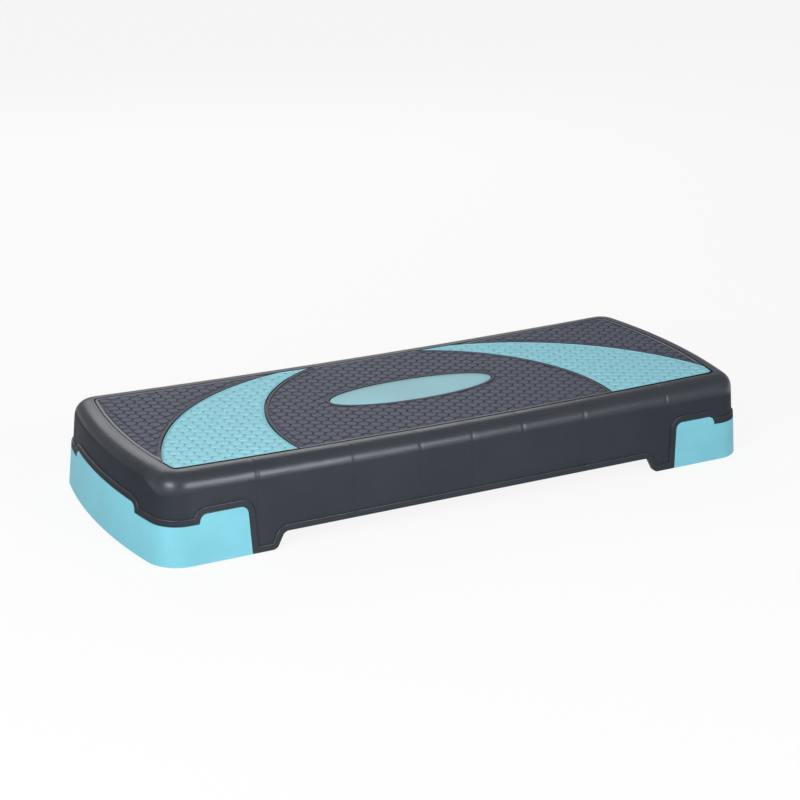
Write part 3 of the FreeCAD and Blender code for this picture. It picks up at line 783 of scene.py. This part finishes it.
def grip_rubber(name):
    """Grip rubber: a fine grain, a smooth band along the rim, and painted shade that darkens grooves and
    pits, with a painted shadow near black in the gaps.
    """
    colour, groove_shade_colour = RUBBERS[name]
    relief = RELIEF[name]
    made, tree, shader = new_material(name)
    grain = noise(tree, RUBBER_GRAIN, GRAIN_DETAIL)
    depth = ranged(tree, attribute(tree, "painted_shade"), 0, MAT_THICKNESS, 0, 1)
    groove = relief["groove"] / MAT_THICKNESS
    pit = groove + relief["pit"] / MAT_THICKNESS
    # Painted shade: the colour darkens with depth down grooves and pits, and goes near black on the walls of
    # the gaps
    shaded_by_depth = ramp(tree, depth, [
        (groove * GROOVE_SHADE_FROM, colour),
        (groove, groove_shade_colour),
        (pit, times(groove_shade_colour, PIT_SHADE_TONE)),
        (GAP_SHADOW_DEPTH, GAP_SHADOW_COLOUR)])
    mottled = speckled(tree, shaded_by_depth, grain, NOISE_RANGE, RUBBER_SPECKLE)
    tree.links.new(mottled, shader.inputs["Base Color"])
    smoothness = attribute(tree, "smoothness")
    tree.links.new(ranged(tree, smoothness, 0, 1, *RUBBER_ROUGHNESS), shader.inputs["Roughness"])
    tree.links.new(ranged(tree, smoothness, 0, 1, *RUBBER_GLOSS), shader.inputs["Specular IOR Level"])
    add_bump(tree, shader, grain, RUBBER_BUMP)
    return made


def pad_rubber():
    """Black rubber with a fine grain."""
    made, tree, shader = new_material("pad_rubber")
    grain = noise(tree, PAD_GRAIN, PAD_DETAIL)
    tree.links.new(ramp(tree, grain, list(zip(NOISE_RANGE, PAD_COLOURS))), shader.inputs["Base Color"])
    tree.links.new(ranged(tree, grain, *NOISE_RANGE, *PAD_ROUGHNESS), shader.inputs["Roughness"])
    add_bump(tree, shader, grain, PAD_BUMP)
    return made


def screw_steel():
    """Zinc plated steel with fine turning marks."""
    made, tree, shader = new_material("screw_steel")
    marks = noise(tree, STEEL_MARKS, GRAIN_DETAIL)
    tree.links.new(ramp(tree, marks, list(zip(NOISE_RANGE, STEEL_COLOURS))), shader.inputs["Base Color"])
    tree.links.new(ranged(tree, marks, *NOISE_RANGE, *STEEL_ROUGHNESS), shader.inputs["Roughness"])
    shader.inputs["Metallic"].default_value = 1
    add_bump(tree, shader, marks, STEEL_BUMP)
    return made


def floor_material():
    """A pale floor that keeps the shadow, and is white to the camera and in reflections."""
    made, tree, shader = new_material("floor")
    shader.inputs["Base Color"].default_value = (*times(WHITE, FLOOR_ALBEDO), 1)
    shader.inputs["Roughness"].default_value = FLOOR_ROUGHNESS
    shader.inputs["Specular IOR Level"].default_value = 0
    path = shader_node(tree, "LightPath")
    seen = path.outputs["Is Camera Ray"]
    for other in ("Is Glossy Ray", "Is Transmission Ray"):
        seen = calculated(tree, "MAXIMUM", seen, path.outputs[other])
    glow = shader_node(tree, "Emission")
    mixed = shader_node(tree, "MixShader")
    share, lit, glowing = mixed.inputs
    tree.links.new(ranged(tree, seen, 0, 1, 0, FLOOR_GLOW), share)
    tree.links.new(shader.outputs["BSDF"], lit)
    tree.links.new(glow.outputs["Emission"], glowing)
    tree.links.new(mixed.outputs["Shader"], tree.nodes["Material Output"].inputs["Surface"])
    return made


def dress(piece, made):
    piece.data.materials.clear()
    piece.data.materials.append(made)


def dress_new(piece, made):
    """Dresses a piece that isn't a CAD node."""
    dress(piece, made)


def camera():
    """The photograph's camera."""
    level = math.cos(CAMERA_ELEVATION)
    across, ahead = math.cos(CAMERA_AZIMUTH), math.sin(CAMERA_AZIMUTH)
    back = Vector((ahead * level, -across * level, math.sin(CAMERA_ELEVATION)))
    right = Vector((across, ahead, 0))
    up = back.cross(right)
    rolled_right = right * math.cos(CAMERA_ROLL) + up * math.sin(CAMERA_ROLL)
    rolled_up = up * math.cos(CAMERA_ROLL) - right * math.sin(CAMERA_ROLL)
    data = bpy.data.cameras.new("camera")
    data.lens = LENS
    data.sensor_width = SENSOR
    data.sensor_fit = "HORIZONTAL"
    data.clip_end = CAMERA_FAR
    made = bpy.data.objects.new("camera", data)
    turn = Matrix((rolled_right, rolled_up, back)).transposed().to_4x4()
    made.matrix_world = Matrix.Translation(CAMERA_PLACE) @ turn
    bpy.context.scene.collection.objects.link(made)
    bpy.context.scene.camera = made


def softbox(name, place, target, size, power, spread):
    """A rectangular soft light that looks at a target."""
    data = bpy.data.lights.new(name, "AREA")
    data.shape = "RECTANGLE"
    data.size, data.size_y = size
    data.energy = power
    data.spread = math.radians(spread)
    lamp = bpy.data.objects.new(name, data)
    direction = Vector(target) - Vector(place)
    lamp.rotation_euler = direction.to_track_quat("-Z", "Y").to_euler()
    lamp.location = place
    lamp.visible_camera = False
    bpy.context.scene.collection.objects.link(lamp)


def studio():
    """Three soft lights in a dim room with a pale floor: left key, front fill and a strip behind."""
    for name, light in LIGHTS.items():
        softbox(name, *light)
    world = bpy.data.worlds.new("studio")
    world.use_nodes = True
    background = world.node_tree.nodes["Background"]
    background.inputs["Color"].default_value = (*WHITE, 1)
    background.inputs["Strength"].default_value = WORLD_LEVEL
    bpy.context.scene.world = world
    bpy.context.scene.view_settings.view_transform = "Standard"
    bpy.ops.mesh.primitive_plane_add(size=FLOOR_SIZE)
    floor = bpy.context.object
    floor.name = "floor"
    dress(floor, floor_material())


def mats():
    """The five grip mats; the right-hand ones mirror the left."""
    rubbers = {slot: grip_rubber(slot) for slot in RUBBERS}

    def add_mat(name, limits, slot):
        dress_new(honeycomb_mat(name, limits, RELIEF[slot]), rubbers[slot])

    add_mat("centre_grip_mat", [
        mat_area,
        left_inner_disc(-MAT_GAP),
        mirrored(left_inner_disc(-MAT_GAP)),
        beyond(badge_oval(BADGE_GAP))], "dark_mat_rubber")
    arc_gap = MAT_GAP + CRESCENT_ARC_DRAWN_IN
    crescent = [
        drawn_in(mat_area, CRESCENT_RIM_DRAWN_IN),
        left_outer_disc(-arc_gap),
        beyond(left_inner_disc(arc_gap)),
        left_of(0)]
    end = [mat_area, beyond(left_outer_disc(MAT_GAP)), left_of(END_MAT_FROM_MIDDLE)]
    for side in SIDES:
        if side == "right":
            crescent = [mirrored(depth) for depth in crescent]
            end = [mirrored(depth) for depth in end]
        add_mat(side + "_crescent_mat", crescent, "turquoise_mat_rubber")
        add_mat(side + "_end_grip_mat", end, "dark_mat_rubber")


def risers_and_locks():
    """Materials of the risers, bolts, keepers and screws, and the rubber pads under risers and deck."""
    riser_plastic, bolt_plastic, keeper_plastic = [
        moulded_plastic(name)[0] for name in ("riser_plastic", "bolt_plastic", "keeper_plastic")]
    rubber = pad_rubber()
    for side in SIDES:
        dress(nodes[side + "_riser"], riser_plastic)
        for face in FACES:
            corner = face + "_" + side
            dress(nodes[corner + "_lock_bolt"], bolt_plastic)
            dress(nodes[corner + "_lock_keeper"], keeper_plastic)
            dress_new(rubber_pad(corner + "_foot_pad", "deck"), rubber)
            dress_new(rubber_pad(corner + "_riser_pad", side + "_riser"), rubber)
    dress(nodes["keeper_screws"], screw_steel())


mats()
dress_new(badge(), moulded_plastic("badge_plastic")[0])
dress(nodes["deck_shell"], deck_plastic())
risers_and_locks()
camera()
studio()
